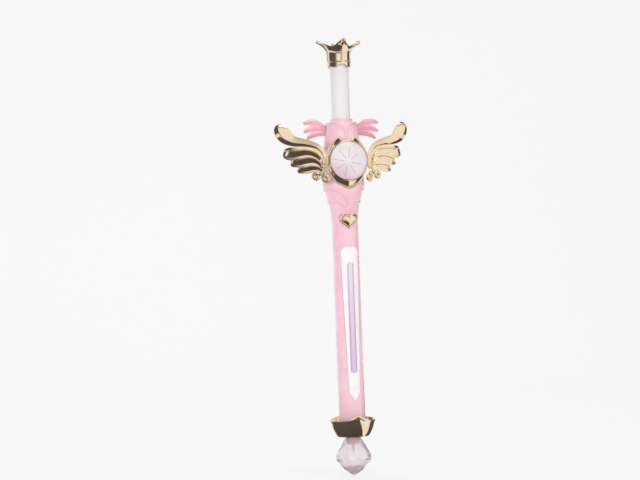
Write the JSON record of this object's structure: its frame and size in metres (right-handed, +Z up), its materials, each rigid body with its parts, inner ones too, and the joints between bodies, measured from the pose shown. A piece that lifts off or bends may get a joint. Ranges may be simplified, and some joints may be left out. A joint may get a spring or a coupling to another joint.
{
  "type": "toy magic wand",
  "caption": "Toy magic wand: pink shaft with a heart button, winged heart gem on a flared head, light column under a gold crown, and a crystal pommel in a flared collar.",
  "frame": {"origin": "on the shaft's axis at the middle of the straight grip", "axes": "+Z up the shaft towards the crown, -Y out of the front with the heart and button"},
  "size_m": [0.12, 0.0471, 0.3958],
  "materials": {
    "pink_plastic": "glossy",
    "rose_plastic": "glossy",
    "gold_plating": "vacuum-plated, mirror bright",
    "clear_pink": "clear, polished",
    "frosted_plastic": "frosted, translucent",
    "pearl_plastic": "pearl gloss",
    "lilac_lens": "translucent",
    "circuit_board": "matte",
    "bright_foil": "mirror bright",
    "steel": "plain",
    "magnet": "matte",
    "dark_plastic": "matte",
    "cell_case": "wrapped"
  },
  "bodies": {
    "wand": {"front_shell": "pink_plastic", "rear_shell": "pink_plastic", "light_column": "frosted_plastic", "crown": "gold_plating", "column_board": "circuit_board", "column_led": "frosted_plastic", "heart_frame": "gold_plating", "gem": "clear_pink", "gem_reflector": "bright_foil", "gem_board": "circuit_board", "gem_leds": "frosted_plastic", "left_wing": "gold_plating", "right_wing": "gold_plating", "rear_feathers": "rose_plastic", "speaker_frame": "steel", "speaker_magnet": "magnet", "speaker_cone": "dark_plastic", "button_bezel": "gold_plating", "switch_body": "dark_plastic", "main_board": "circuit_board", "sound_chip": "dark_plastic", "board_screws": "steel", "front_panel": "pearl_plastic", "strip_lens": "lilac_lens", "strip_board": "circuit_board", "strip_leds": "frosted_plastic", "battery_tray": "pearl_plastic", "batteries": "cell_case", "battery_spring": "steel", "battery_plate": "steel", "shell_screws": "steel", "collar": "gold_plating", "end_plug": "rose_plastic", "crystal": "clear_pink", "crystal_screw": "steel"},
    "button": {"heart_button": "gold_plating"},
    "plunger": {"switch_plunger": "dark_plastic"},
    "cover": {"battery_cover": "pink_plastic", "cover_screw": "steel"}
  },
  "joints": [
    {"name": "heart_press", "type": "slide", "parent": "wand", "child": "button", "axis": [0, 1, 0], "range_m": [0, 0.001], "stiffness_N_per_m": 900, "springref_m": -0.0004},
    {"name": "plunger_press", "type": "slide", "parent": "wand", "child": "plunger", "axis": [0, 1, 0], "range_m": [0, 0.001]},
    {"name": "cover_tilt", "type": "hinge", "parent": "wand", "child": "cover", "pos_m": [0, 0.012, 0.0553], "axis": [1, 0, 0], "range_deg": [0, 60]}
  ],
  "couplings": [
    {"joint": "plunger_press", "follows": "heart_press", "ratio": 1}
  ]
}
